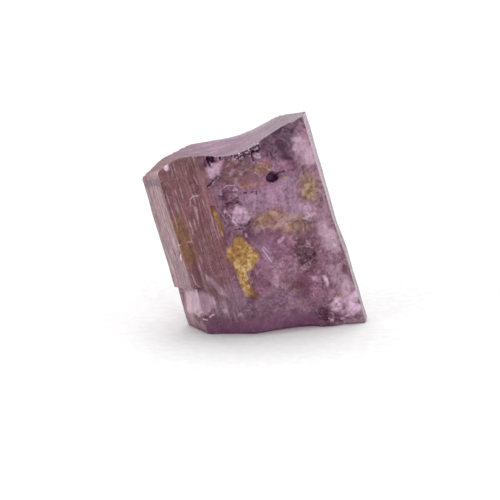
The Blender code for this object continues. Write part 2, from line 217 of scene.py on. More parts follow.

# Outlines of stained and flawed areas, of dark patches partly painted as shade and of pale marks
# partly painted as glints, a family at a time. Each row has the strength, the width over which the
# edge fades, and then the place along the outline and the height of each corner.
# The three tables of marks are in hundredths, of full strength and of a millimetre.
PATCHES = {
    # Pale lilac patches; the small glare by the speckled strip and the bright crumbled lower right
    # corner are painted highlights
    "pale": (
        (75, 10, -12, 325, 2, 368, 30, 362, 55, 374, 98, 374, 76, 342, 45, 314, 12, 308),
        (90, 10, 42, 72, 66, 118, 100, 136, 136, 116, 162, 76, 140, 40, 95, 46, 60, 50),
        (100, 5, 264, 340, 284, 348, 308, 336, 298, 318, 276, 324),
        (60, 22, 486, 372, 545, 362, 578, 290, 574, 190, 512, 210, 488, 270),
        (62, 16, 426, 36, 480, 22, 504, -52, 462, -62, 424, -44),
        (60, 22, 482, -90, 550, -100, 574, -190, 550, -260, 492, -230, 474, -150),
        (100, 14, 405, -486, 460, -466, 520, -490, 590, -470, 586, -566, 540, -592, 490, -566,
         444, -546),
        (50, 14, -420, -224, -230, -214, -172, -240, -156, -290, -190, -330, -270, -340,
         -420, -326),
        (45, 10, -230, -220, -186, -236, -174, -272, -210, -290, -250, -270),
    ),
    "violet": (
        (90, 35, 120, 180, 220, 162, 310, 172, 390, 190, 455, 162, 420, 90, 440, -10, 335, -20,
         322, 50, 260, 80, 180, 72, 145, 110),
        (34, 30, -130, -240, -30, -220, 30, -340, 140, -330, 260, -360, 320, -460, 160, -410,
         20, -410, -140, -390, -180, -340),
        (50, 30, 130, -60, 220, -80, 210, -190, 155, -200, 150, -120),
    ),
    "haze": (
        (85, 22, 40, 290, 72, 336, 130, 362, 220, 336, 270, 300, 330, 282, 330, 234, 260, 224,
         160, 236, 90, 254),
        (70, 28, 330, -30, 430, -50, 490, -86, 480, -136, 400, -130, 350, -100),
        (60, 25, 170, 62, 320, 52, 310, -40, 230, -30, 150, -5),
        (50, 20, -240, -120, -180, -130, -85, -295, -110, -310, -190, -220),
    ),
    "rust": (
        (95, 18, -255, 155, -220, 180, -180, 140, -172, 20, -180, -58, -210, -74, -252, -58,
         -260, 20),
        (90, 30, 450, 150, 510, 166, 555, 130, 550, 50, 500, 20, 445, 50),
        (85, 14, 162, 42, 220, 52, 300, 50, 320, 24, 250, 6, 195, 10),
        (50, 25, 160, 55, 330, 45, 440, -40, 450, -100, 320, -100, 220, -20, 150, -5),
        (80, 14, 302, -38, 340, -36, 378, -48, 360, -76, 320, -86),
        (80, 14, 240, 278, 300, 294, 334, 270, 320, 244, 260, 246),
    ),
    "wine": (
        (95, 25, 295, -155, 360, -130, 440, -150, 476, -230, 430, -262, 390, -305, 340, -302,
         320, -240),
        (90, 20, -470, 370, -245, 384, -245, 342, -470, 326),
        (55, 12, -102, 435, -62, 425, -72, 270, -98, 250),
        (35, 10, -470, -362, -290, -360, -180, -366, -130, -390, -130, -500, -470, -500),
        (45, 20, -45, -20, -15, -120, -40, -240, -110, -210, -115, -60),
    ),
    # Dark violet patches, partly painted shade: the dark triangle under the right end of the top
    # rim, the dark hollows and the lower band are darkened as if shaded
    "dark_patch_and_shade": (
        (80, 18, -440, 366, -250, 380, -250, 342, -440, 328),
        (100, 12, 290, 380, 300, 410, 360, 430, 440, 450, 540, 470, 536, 436, 460, 410, 390, 396,
         340, 372),
        (98, 16, 302, 398, 360, 420, 440, 440, 570, 470, 570, 412, 520, 386, 495, 330, 490, 275,
         430, 245, 392, 280, 350, 286, 322, 320),
        (75, 12, -62, 450, 10, 440, 12, 366, -28, 352, -52, 386),
        (55, 12, 152, 378, 260, 400, 320, 400, 330, 330, 290, 292, 242, 322, 160, 346),
        (35, 14, -140, -386, -50, -408, 50, -420, 100, -412, 230, -436, 330, -490, 390, -560,
         460, -600, 600, -620, 600, -750, -140, -750),
        (66, 8, 350, -496, 374, -502, 396, -534, 388, -556, 364, -538),
    ),
    "flaw": (
        (100, 6, 294, 222, 316, 224, 334, 242, 342, 222, 366, 214, 356, 194, 350, 180, 330, 178,
         314, 186, 300, 200),
        (95, 6, 12, 418, 56, 416, 62, 390, 46, 374, 36, 390, 22, 366, 10, 390),
        (85, 6, 70, 398, 92, 400, 94, 384, 72, 380),
        (42, 14, 116, 366, 160, 390, 260, 410, 316, 396, 300, 352, 240, 344, 160, 348),
    ),
    "earth": (
        (100, 7, 46, -12, 88, -20, 100, -50, 114, -80, 136, -120, 132, -150, 102, -184, 62, -198,
         56, -236, 50, -270, 62, -324, 30, -316, 0, -300, -6, -250, -8, -200, -14, -130, -30, -90,
         -26, -46, 8, -40, 30, -30),
        (100, 4, -42, 174, -30, 166, -14, 120, -8, 60, -16, 8, -26, 16, -30, 70, -36, 120),
    ),
}

# Ovals of the same families: place, height, half sizes, tilt in whole degrees, strength
SPOTS = {
    # Pale lilac spots; those at the crumbled lower right corner are painted highlights
    "pale": (
        (530, -330, 34, 20, 20, 50), (436, -375, 16, 42, 8, 95), (390, -345, 34, 26, -20, 55),
        (180, -285, 30, 42, -28, 45), (272, -100, 34, 15, 10, 60), (104, -18, 10, 16, 0, 60),
        (-195, 422, 20, 26, 0, 90), (26, 128, 10, 13, 0, 80), (110, 220, 10, 16, 20, 60),
        (35, 218, 7, 13, -20, 75), (-125, -215, 20, 110, 30, 30), (-360, -260, 60, 40, 0, 35),
        (230, 396, 70, 9, 4, 60), (530, -440, 50, 60, 0, 60), (95, 185, 30, 22, 0, 40),
        (520, -520, 70, 60, 0, 100), (545, 260, 26, 90, 6, 45), (470, -490, 22, 12, -20, 80),
        (195, -235, 16, 16, 0, 30), (-120, -345, 16, 20, 0, 45), (-55, -380, 18, 12, 0, 35),
        (460, -330, 20, 16, 0, 35), (500, -370, 60, 80, 10, 42),
    ),
    "violet": (
        (10, 240, 45, 40, 0, 60), (-240, -400, 140, 50, 0, 20), (370, 250, 50, 30, 0, 60),
    ),
    "haze": (
        (260, -320, 90, 45, -20, 35), (66, -250, 26, 62, 0, 55), (-220, -130, 34, 46, 20, 60),
        (-100, 40, 30, 90, 0, 35), (-300, 150, 50, 110, 0, 35), (380, 195, 40, 20, -20, 60),
        (530, 0, 40, 50, 0, 45),
    ),
    "rust": (
        (172, 220, 36, 16, -14, 100), (135, 262, 32, 12, -10, 50), (225, 202, 60, 12, -12, 55),
        (190, 26, 18, 9, -30, 100), (60, -10, 34, 20, 0, 80), (272, -362, 16, 22, 20, 70),
        (478, -458, 15, 26, 10, 75), (395, -55, 45, 12, -10, 50), (-95, 35, 16, 30, 0, 45),
        (-40, -100, 12, 42, 0, 50), (530, -90, 12, 16, 0, 50), (150, 95, 25, 10, -40, 45),
        (-200, 390, 10, 10, 0, 50), (390, 185, 22, 8, -20, 55), (140, 345, 30, 12, 20, 35),
    ),
    "wine": (
        (360, -276, 28, 32, 0, 85), (385, -180, 36, 20, -20, 75), (335, -170, 30, 24, 0, 60),
        (-105, 212, 23, 30, 0, 80), (-62, 395, 22, 24, 0, 70), (300, 28, 16, 20, 0, 60),
        (160, 272, 75, 12, -6, 55), (495, -240, 12, 14, 0, 60), (-60, -320, 60, 40, 0, 35),
        (-230, 360, 30, 40, 0, 40), (-85, 70, 14, 90, 0, 30),
    ),
    # Dark violet spots, partly painted shade in the hollows of the front
    "dark_patch_and_shade": (
        (66, 156, 36, 15, 8, 45), (50, 214, 20, 18, 0, 50), (430, -415, 30, 15, -10, 50),
        (98, 160, 30, 9, -20, 42), (215, -162, 14, 12, 0, 60), (536, -170, 9, 7, 0, 80),
        (470, -245, 12, 10, 0, 60), (15, 15, 22, 20, 0, 55), (210, -5, 16, 8, -20, 60),
        (380, -220, 80, 80, 0, 40), (-360, 36, 36, 8, -10, 45), (546, -30, 14, 16, 20, 60),
        (530, 195, 10, 40, 8, 40), (562, 80, 10, 70, 0, 50), (406, -520, 10, 16, 20, 60),
        (436, -566, 12, 12, -20, 60),
    ),
    "flaw": (
        (252, 386, 10, 10, 0, 75), (262, 366, 8, 14, 0, 60), (306, 362, 12, 7, 0, 70),
    ),
}

# Lines of the same families: strength, half width, then place and height of each point
LINES = {
    # Pale lines, many of them painted glints: along the striations, under the rounded lobe at the
    # lower left and over the crumbled lower right corner
    "pale": (
        (60, 3, -134, 206, -128, 236, -106, 250, -84, 246),
        (45, 2.2, -236, 310, -234, 200, -230, 120), (50, 2.2, -186, 300, -180, 240, -178, 180),
        (45, 2.2, -76, 350, -72, 300), (55, 2.8, -202, 36, -178, 34), (55, 2.8, -258, 32, -242, 32),
        (100, 4.5, -274, -48, -262, -18), (90, 4, -286, -342, -270, -346),
        (95, 4, -246, -356, -220, -366), (90, 4.5, -202, -352, -180, -346),
        (70, 3, -202, -324, -192, -320), (75, 3, 162, -110, 186, -186),
        (60, 2.5, 174, -102, 192, -150), (60, 2.5, 150, -130, 166, -162),
        (85, 3.5, 420, -38, 444, -52, 452, -36, 450, 2), (100, 6, 472, -584, 506, -578),
        (100, 5, 408, -572, 430, -566), (90, 4, 446, -530, 460, -542),
        (80, 3.5, 392, -552, 416, -578), (70, 3, 412, -530, 424, -546),
        (70, 3, 28, 140, 46, 96, 66, 56), (60, 2.5, 10, 120, 22, 70),
        (70, 3, 32, 230, 76, 250, 116, 236, 126, 206), (35, 2.2, 348, -162, 390, -174, 424, -196),
        (35, 2.2, 362, -240, 394, -252, 420, -244), (55, 2.2, -230, -120, -222, -180, -205, -200),
    ),
    "violet": (
        (80, 10, 460, -610, 520, -602, 580, -596),
    ),
    "haze": (
        (50, 5, -190, -150, -150, -220, -120, -290),
    ),
    "rust": (
        (60, 4, -228, -90, -226, -170), (50, 3, -170, 120, -160, -60),
    ),
    "wine": (
        (75, 3, -246, 230, -242, 30), (60, 2.5, -40, 260, -36, 180), (60, 2.5, -50, 100, -38, -90),
        (60, 2, -140, 120, -136, -40), (60, 2, -98, 160, -92, -80), (55, 2, -194, 360, -190, 190),
    ),
    # Dark violet lines, partly painted shade under the ledge of the left strip
    "dark_patch_and_shade": (
        (70, 5, -262, -200, -210, -210), (60, 4, -470, -206, -260, -208),
        (90, 5, 440, -60, 466, -78, 500, -88), (50, 5, -10, -324, 60, -344),
        (60, 3, 320, -152, 350, -200, 364, -250), (60, 3, 300, -200, 390, -224),
        (50, 3, 155, -90, 152, -190), (60, 5, 360, -486, 410, -460, 430, -420),
    ),
    "flaw": (
        (100, 3.6, 360, 216, 386, 214, 406, 220), (80, 2.2, 406, 220, 450, 204),
        (95, 5, -28, 274, -6, 284, 16, 296), (70, 3, 16, 296, 50, 308),
        (90, 1.8, 134, 190, 180, 178, 240, 168), (95, 2, 225, 166, 216, 140, 202, 110),
        (75, 4, 48, 28, 100, 22, 146, 38), (60, 2.4, 200, 60, 232, 62, 266, 72),
        (60, 4, 38, 148, 70, 160, 112, 150), (60, 2, 20, 146, 34, 102, 56, 60),
        (90, 4, 248, 352, 272, 360, 298, 354), (80, 4, 250, 340, 256, 316, 284, 298),
        (70, 3.5, 166, 384, 210, 390, 246, 384), (60, 3, -42, 180, -18, 126, -10, 60),
        (60, 2.5, 34, -262, 52, -300), (60, 2.5, 362, -496, 384, -500),
        (50, 1.8, -242, 366, -240, 260), (60, 2.5, 150, 98, 160, 70),
    ),
}

# Flaws strewn over the hidden sides: their reach, and for each family a seed, the number of
# ovals and of lines, the ovals' sizes and the strengths of both
HIDDEN_ALONG = (7.0, 21.0)
HIDDEN_HEIGHT = (-5.4, 4.2)
HIDDEN = {
    "pale": (41, 14, 6, (0.15, 0.70), (0.3, 0.7)),
    "violet": (42, 9, 0, (0.50, 1.10), (0.5, 0.9)),
    "haze": (43, 9, 0, (0.35, 0.80), (0.4, 0.7)),
    "rust": (44, 7, 2, (0.20, 0.60), (0.4, 0.8)),
    "wine": (45, 8, 3, (0.20, 0.70), (0.4, 0.8)),
    "dark_patch_and_shade": (46, 9, 3, (0.15, 0.60), (0.4, 0.8)),
    "flaw": (47, 4, 6, (0.05, 0.14), (0.6, 0.9)),
    "earth": (48, 3, 1, (0.10, 0.24), (0.9, 1.0)),
}
HIDDEN_STRETCH = (1.0, 2.6)
HIDDEN_TILT = (-50, 50)
HIDDEN_LINE_WIDTHS = (0.02, 0.05)
HIDDEN_LINE_STEPS = (0.15, 0.40)
HIDDEN_LINE_PARTS = 4
HIDDEN_LINE_TURN = 0.4
HIDDEN_LINE_SEED_STEP = 100

# Share of the ragged sway that moves a mark: for a patch it grows from the least with the width
# of its edge, for an oval with its half size, and for a line it is fixed. Then the near and far
# distance from a line at which it fades, in half widths.
SWAY_LEAST = 0.35
SWAY_RATE = 2.2
LINE_SWAY = 0.15
LINE_EDGE = (0.4, 1.6)

# Markings end this share of the way in from the rims over the top and the underside
MARKING_END = 0.06

# Edges between faces that meet at more than this many degrees are shaded sharp
SHARP_ANGLE = 38.0

# Relief that goes with the flaws, the dark violet patches partly painted as shade, the wine patches
# and the pale marks, in millimetres of depth at full strength
FLAW_RELIEF = {"flaw": 0.05, "dark_patch_and_shade": 0.02, "pale": -0.012, "wine": 0.012}


def ramp(value, low, high):
    """Ease from 0 at low to 1 at high."""
    share = np.clip((value - low) / (high - low), 0.0, 1.0)
    return share * share * (3.0 - 2.0 * share)


def hollow(along, height, place, half_sizes, depth):
    """A rounded hollow with a nearly flat floor."""
    reach = np.hypot((along - place[0]) / half_sizes[0], (height - place[1]) / half_sizes[1])
    return depth * (1.0 - ramp(reach, *HOLLOW_WALL))


def grain(points, size, seed):
    """Smooth noise between -1 and 1 at each point, with features about one size across."""
    return np.array([noise.noise(Vector(point) / size + SEED_SHIFT * seed) for point in points])


def layered(points, layers):
    """Smooth noise of several depths, sizes and seeds, added up."""
    return sum(depth * grain(points, size, seed) for depth, size, seed in layers)


def scattered(cells, salt):
    """Three even random numbers from 0 to 1 for each whole-numbered cell."""
    mix = np.array([[127.1, 311.7, 74.7], [269.5, 183.3, 246.1], [113.5, 271.9, 124.6]])
    wave = np.sin(cells @ mix.T + salt) * 43758.5453
    return wave - np.floor(wave)


def facets(points, size, salt):
    """Height of a surface broken in small flat facets, each with its own tilt."""
    spots = points / size
    home = np.floor(spots)
    nearest = np.full(len(spots), np.inf)
    seed_spot = np.zeros_like(spots)
    seed_cell = np.zeros_like(spots)
    for step in np.ndindex(3, 3, 3):
        cells = home + np.array(step) - 1
        seeds = cells + scattered(cells, salt)
        gap = np.sum((spots - seeds) ** 2, axis=1)
        closer = gap < nearest
        nearest[closer] = gap[closer]
        seed_spot[closer] = seeds[closer]
        seed_cell[closer] = cells[closer]
    tilt = scattered(seed_cell, salt + 3.7) * 2.0 - 1.0
    return np.sum(tilt * (spots - seed_spot), axis=1)


def outline():
    """Points of the cross-section at each column, and each one's distance from the ridge."""
    points = []
    distances = []
    walked = 0.0
    for index, (_, x, y, columns) in enumerate(SECTION):
        _, next_x, next_y, _ = SECTION[(index + 1) % len(SECTION)]
        length = math.hypot(next_x - x, next_y - y)
        for column in range(columns):
            share = column / columns
            points.append((x + (next_x - x) * share, y + (next_y - y) * share))
            distances.append(walked + length * share)
        walked += length
    return np.array(points), np.array(distances), walked


def from_ridge(along, total):
    """Distances along the outline, with those on the two left faces counted below zero."""
    corners = [Vector(corner[1:3]) for corner in SECTION[-2:] + SECTION[:1]]
    left_faces = (corners[1] - corners[0]).length + (corners[2] - corners[1]).length
    return np.where(along > total - left_faces - NEAR, along - total, along)


def outward_directions(points):
    """Outward direction at each outline point, eased round the corners."""
    ring = np.vstack([points, points[:1]])
    steps = np.hypot(*np.diff(ring, axis=0).T)
    walked = np.concatenate([[0.0], np.cumsum(steps)])
    total = walked[-1]

    def point_at(distance):
        wrapped = distance % total
        return np.stack([np.interp(wrapped, walked, ring[:, axis]) for axis in (0, 1)], axis=-1)

    chord = point_at(walked[:-1] + CORNER_EASE) - point_at(walked[:-1] - CORNER_EASE)
    direction = np.stack([chord[:, 1], -chord[:, 0]], axis=-1)
    return direction / np.hypot(direction[:, 0], direction[:, 1])[:, None]


def smooth_surface(controls):
    """A smooth height function of x and y that passes through the control heights."""
    table = np.array(controls)
    places, heights = table[:, :2], table[:, 2]

    def bulge(gap):
        return gap ** 2 * np.log(gap + 1e-9)

    count = len(table)
    flat = np.hstack([np.ones((count, 1)), places])
    gaps = np.linalg.norm(places[:, None] - places[None], axis=-1)
    system = np.block([[bulge(gaps), flat], [flat.T, np.zeros((3, 3))]])
    weights = np.linalg.solve(system, np.concatenate([heights, np.zeros(3)]))

    def height_at(x, y):
        spots = np.stack([x, y], axis=-1)
        reach = np.linalg.norm(spots[..., None, :] - places, axis=-1)
        return bulge(reach) @ weights[:count] + weights[count] + spots @ weights[count + 1:]

    return height_at


def stance():
    """Turn and lean of the prism in the world."""
    turn = Matrix.Rotation(math.radians(TURN), 3, "Z")
    back = Matrix.Rotation(math.radians(-LEAN_BACK), 3, "X")
    left = Matrix.Rotation(math.radians(-LEAN_LEFT), 3, "Y")
    return left @ back @ turn


STANCE = stance()


def to_world(points):
    """Crystal-frame millimetres to world metres."""
    return (points @ np.array(STANCE).T + np.array(AXIS_MIDDLE)) * MM


def ground_height(x, y, lift):
    """Height in the crystal's frame at which its underside is lift above the ground."""
    row = STANCE[2]
    return (lift - AXIS_MIDDLE.z - row[0] * x - row[1] * y) / row[2]


def striations(along, height):
    """Long steps down the striated face."""
    rise = np.zeros_like(along)
    for place, step in STRIATION_STEPS:
        rise += step * ramp(along, place - STEP_RUN, place + STEP_RUN)
    return rise * ramp(height, *STRIATION_FADE)


def fine_striations(along, height):
    """Many hair-fine lines down the striated face, each with its own length."""
    dice = np.random.default_rng(HAIR_SEED)
    foot_run, top_run = HAIR_ENDS
    depth = np.zeros_like(along)
    for _ in range(HAIR_COUNT):
        place, width, rise, top = (dice.uniform(*reach) for reach in HAIR_RANGES)
        foot = top - dice.uniform(*HAIR_LENGTHS)
        line = np.clip(1.0 - np.abs(along - place) / width, 0.0, 1.0)
        depth += (rise * line * ramp(height, foot, foot + foot_run)
                  * (1.0 - ramp(height, top - top_run, top)))
    return depth * ramp(height, *HAIR_FADE)


def notch(along, height):
    """The bell-shaped notch: a shallow channel with a round top, running out downwards."""
    across = (along - NOTCH_PLACE[0]) / NOTCH_HALF_WIDTH
    over = np.maximum(height - NOTCH_PLACE[1], 0.0) / NOTCH_HALF_WIDTH
    within = 1.0 - ramp(np.hypot(across, over), *NOTCH_WALL)
    return NOTCH_DEPTH * within * ramp(height, NOTCH_FOOT, NOTCH_PLACE[1])


def ledge(along, height):
    """The step in across the left strip, coming out again towards the ground."""
    beside = 1.0 - ramp(along, *LEDGE_END)
    under = 1.0 - ramp(height, LEDGE_HEIGHT - LEDGE_SLOPE, LEDGE_HEIGHT)
    back_out = LEDGE_RETURN_SHARE * ramp(LEDGE_HEIGHT - height, *LEDGE_RETURN)
    return LEDGE_DEPTH * beside * under * (1.0 - back_out)


def cavity(along, height):
    """The cavity on the front that earth fills, wide above and narrow below."""
    stations = np.array(CAVITY)
    middle = np.interp(-height, -stations[:, 1], stations[:, 0])
    half = np.interp(-height, -stations[:, 1], stations[:, 2])
    across = np.abs(along - middle) / half
    above = np.maximum(height - stations[0, 1], 0.0) / CAVITY_TOP_ROUNDING
    below = np.maximum(stations[-1, 1] - height, 0.0) / CAVITY_FOOT_ROUNDING
    return CAVITY_DEPTH * (1.0 - ramp(np.hypot(across, above + below), *CAVITY_WALL))


def groove(along, height):
    """The narrow groove beside the ridge."""
    (top_along, top), (foot_along, foot) = GROOVE
    share = np.clip((top - height) / (top - foot), 0.0, 1.0)
    middle = top_along + (foot_along - top_along) * share
    beyond = np.maximum(height - top, 0.0) + np.maximum(foot - height, 0.0)
    reach = np.hypot(along - middle, beyond) / GROOVE_HALF_WIDTH
    return GROOVE_DEPTH * (1.0 - ramp(reach, *GROOVE_WALL))


def rim_chip(along, height):
    """The sloping facet broken from under the right end of the top rim."""
    between = ramp(along, *RIM_CHIP_LEFT) * (1.0 - ramp(along, *RIM_CHIP_RIGHT))
    return RIM_CHIP_DEPTH * between * ramp(height, RIM_CHIP_FOOT, RIM_CHIP_FOOT + RIM_CHIP_HEIGHT)


def below_edge(along, height):
    """How far below the sides' lower edge each place is."""
    places, edges, _ = np.array(UNDERCUT).T
    return np.maximum(np.interp(along, places, edges) - height, 0.0)


def undercut(along, height):
    """How far the broken lower part cuts in below the sides' lower edge."""
    places, _, slopes = np.array(UNDERCUT).T
    return np.interp(along, places, slopes) * below_edge(along, height)


def back_growth(along, height):
    """Striations of the hidden sides, which fade before they reach the visible ones."""
    sway, sway_rate = BACK_STRIATION_SWAY
    height_rate, along_rate = BACK_STRIATION_LENGTHS
    wave = np.sin(along * math.tau / BACK_STRIATION_WIDTH + sway * np.sin(along * sway_rate))
    broken = ramp(np.sin(height * height_rate + along * along_rate), *BACK_STRIATION_GAPS)
    return BACK_STRIATION_DEPTH * ramp(along, *BACK_START) * broken * (0.5 + 0.5 * wave)


def crumble(along, height, points):
    """Lumpy rock broken from the lower right edge."""
    beside = ramp(along, *CRUMBLE_LEFT) * (1.0 - ramp(along, *CRUMBLE_RIGHT))
    lumps = CRUMBLE_EVEN + grain(points, CRUMBLE_SIZE, CRUMBLE_SEED)
    return CRUMBLE_DEPTH * beside * (1.0 - ramp(height, *CRUMBLE_TOP)) * lumps


def side_depth(along, height, points):
    """How far each place on the sides lies inside the plain prism."""
    depth = striations(along, height) + notch(along, height) + ledge(along, height)
    depth += cavity(along, height) + groove(along, height) + rim_chip(along, height)
    for dent in HOLLOWS + BACK_HOLLOWS:
        depth += hollow(along, height, dent[:2], dent[2:4], dent[4])
    depth += undercut(along, height) + back_growth(along, height) + crumble(along, height, points)
    beside = ramp(along, *RIGHT_EDGE_START) * (1.0 - ramp(along, *RIGHT_EDGE_END))
    depth += RIGHT_EDGE_TRIM * beside * (1.0 - ramp(height, *RIGHT_EDGE_HEIGHTS))
    return depth + layered(points, UNEVENNESS)


def oval(along, height, place, half_sizes, tilt=0.0, edge=0.6):
    """1 in the middle of a tilted oval, 0 outside it."""
    turn = math.radians(tilt)
    beside = along - place[0]
    above = height - place[1]
    across = beside * math.cos(turn) + above * math.sin(turn)
    up = above * math.cos(turn) - beside * math.sin(turn)
    return 1.0 - ramp(np.hypot(across / half_sizes[0], up / half_sizes[1]), 1.0 - edge, 1.0)


def to_line(along, height, start, end):
    """Distance from each place to a straight line between two points."""
    run = (end[0] - start[0], end[1] - start[1])
    share = (along - start[0]) * run[0] + (height - start[1]) * run[1]
    share = np.clip(share / (run[0] ** 2 + run[1] ** 2), 0.0, 1.0)
    return np.hypot(along - start[0] - share * run[0], height - start[1] - share * run[1])


def inside(along, height, corners):
    """Distance to a closed outline, positive inside it and negative outside."""
    gap = np.full(along.shape, np.inf)
    within = np.zeros(along.shape, bool)
    for start, end in zip(corners, corners[1:] + corners[:1]):
        gap = np.minimum(gap, to_line(along, height, start, end))
        if start[1] != end[1]:
            level = start[0] + (height - start[1]) * (end[0] - start[0]) / (end[1] - start[1])
            within ^= ((start[1] > height) != (end[1] > height)) & (along < level)
    return np.where(within, gap, -gap)


def outlined(rows):
    """Strength, width and points of each row of a table of patches or lines."""
    for row in rows:
        strong, wide, *places = (number / 100 for number in row)
        yield strong, wide, tuple(zip(places[::2], places[1::2]))


def table_spots(family):
    """The ovals of one family in the table."""
    for *place, tilt, strong in SPOTS.get(family, ()):
        yield (*(number / 100 for number in place), tilt, strong / 100)


def hidden_spots(family):
    """Ovals strewn over the hidden sides."""
    seed, count, _, sizes, strengths = HIDDEN[family]
    dice = np.random.default_rng(seed)
    spots = []
    for _ in range(count):
        place = (dice.uniform(*HIDDEN_ALONG), dice.uniform(*HIDDEN_HEIGHT))
        size = dice.uniform(*sizes)
        stretch = dice.uniform(*HIDDEN_STRETCH)
        tilt = dice.uniform(*HIDDEN_TILT)
        spots.append((*place, size, size * stretch, tilt, dice.uniform(*strengths)))
    return tuple(spots)


def hidden_lines(family):
    """Short cracks strewn over the hidden sides."""
    seed, _, count, _, strengths = HIDDEN[family]
    dice = np.random.default_rng(seed + HIDDEN_LINE_SEED_STEP)
    lines = []
    for _ in range(count):
        points = [(dice.uniform(*HIDDEN_ALONG), dice.uniform(*HIDDEN_HEIGHT))]
        heading = dice.uniform(0.0, math.tau)
        for _ in range(HIDDEN_LINE_PARTS):
            heading += dice.normal(0.0, HIDDEN_LINE_TURN)
            step = dice.uniform(*HIDDEN_LINE_STEPS)
            last = points[-1]
            points.append((last[0] + step * math.cos(heading), last[1] + step * math.sin(heading)))
        strong = dice.uniform(*strengths)
        lines.append((strong, dice.uniform(*HIDDEN_LINE_WIDTHS), tuple(points)))
    return tuple(lines)


def marking(family, along, height, sway_along, sway_height):
    """How strongly one family of marks marks each place; the families hold stains, flaws, painted
    shade and painted glints.
    """
    strength = np.zeros_like(along)
    for strong, fade, corners in outlined(PATCHES[family]):
        sway = min(1.0, SWAY_LEAST + SWAY_RATE * fade)
        gap = inside(along + sway * sway_along, height + sway * sway_height, corners)
        strength = np.maximum(strength, strong * ramp(gap, -fade, fade))
    for spot in (*table_spots(family), *hidden_spots(family)):
        sway = min(1.0, SWAY_RATE * min(spot[2:4]))
        share = oval(along + sway * sway_along, height + sway * sway_height, spot[:2],
                     spot[2:4], spot[4])
        strength = np.maximum(strength, spot[5] * share)
    along = along + LINE_SWAY * sway_along
    height = height + LINE_SWAY * sway_height
    lines = (*outlined(LINES.get(family, ())), *hidden_lines(family))
    for strong, half_width, points in lines:
        low, high = (edge * half_width for edge in LINE_EDGE)
        for start, end in zip(points, points[1:]):
            gap = to_line(along, height, start, end)
            strength = np.maximum(strength, strong * (1.0 - ramp(gap, low, high)))
    return strength


def fine_depth(along, height, points, marks):
    """The fine relief that the solid leaves out: hair lines, etch marks and small facets."""
    depth = fine_striations(along, height)
    etch = np.zeros_like(along)
    for index, zone in enumerate(FACET_ZONES):
        share = oval(along, height, zone[:2], zone[2:4], edge=FACET_EDGE)
        near = share > 0.0
        depth[near] += zone[5] * share[near] * facets(points[near], zone[4], 1.0 + index)
        etch = np.maximum(etch, share)
    for lump in LUMPS:
        depth -= lump[4] * oval(along, height, lump[:2], lump[2:4], edge=LUMP_EDGE)
    for family, deep in FLAW_RELIEF.items():
        depth += deep * marks[family]
    front = ramp(along, *FRONT_START) * (1.0 - ramp(along, *FRONT_END))
    depth += front * layered(points, FRONT_GRAIN)
    depth += marks["earth"] * layered(points, EARTH_GRAIN)
    depth += layered(points, OVERALL_GRAIN)
    return depth, etch


def top_ripple(x, y):
    """Faint long ripples over the broken top, along its rim."""
    sway, sway_rate = TOP_SWAY
    across = y + sway * np.sin(sway_rate * x)
    return sum(depth * np.sin(across * rate + lean * x) for depth, rate, lean in TOP_RIPPLES)


def rim_rounding(below_rim, soft):
    """How far the rounding of the top rim lies inside the sides, with a larger radius where soft."""
    radius = RIM_RADIUS + (SOFT_RIM_RADIUS - RIM_RADIUS) * soft
    over_edge = np.clip(1.0 - below_rim / radius, 0.0, 1.0)
    return radius * (1.0 - np.sqrt(1.0 - over_edge ** 2))


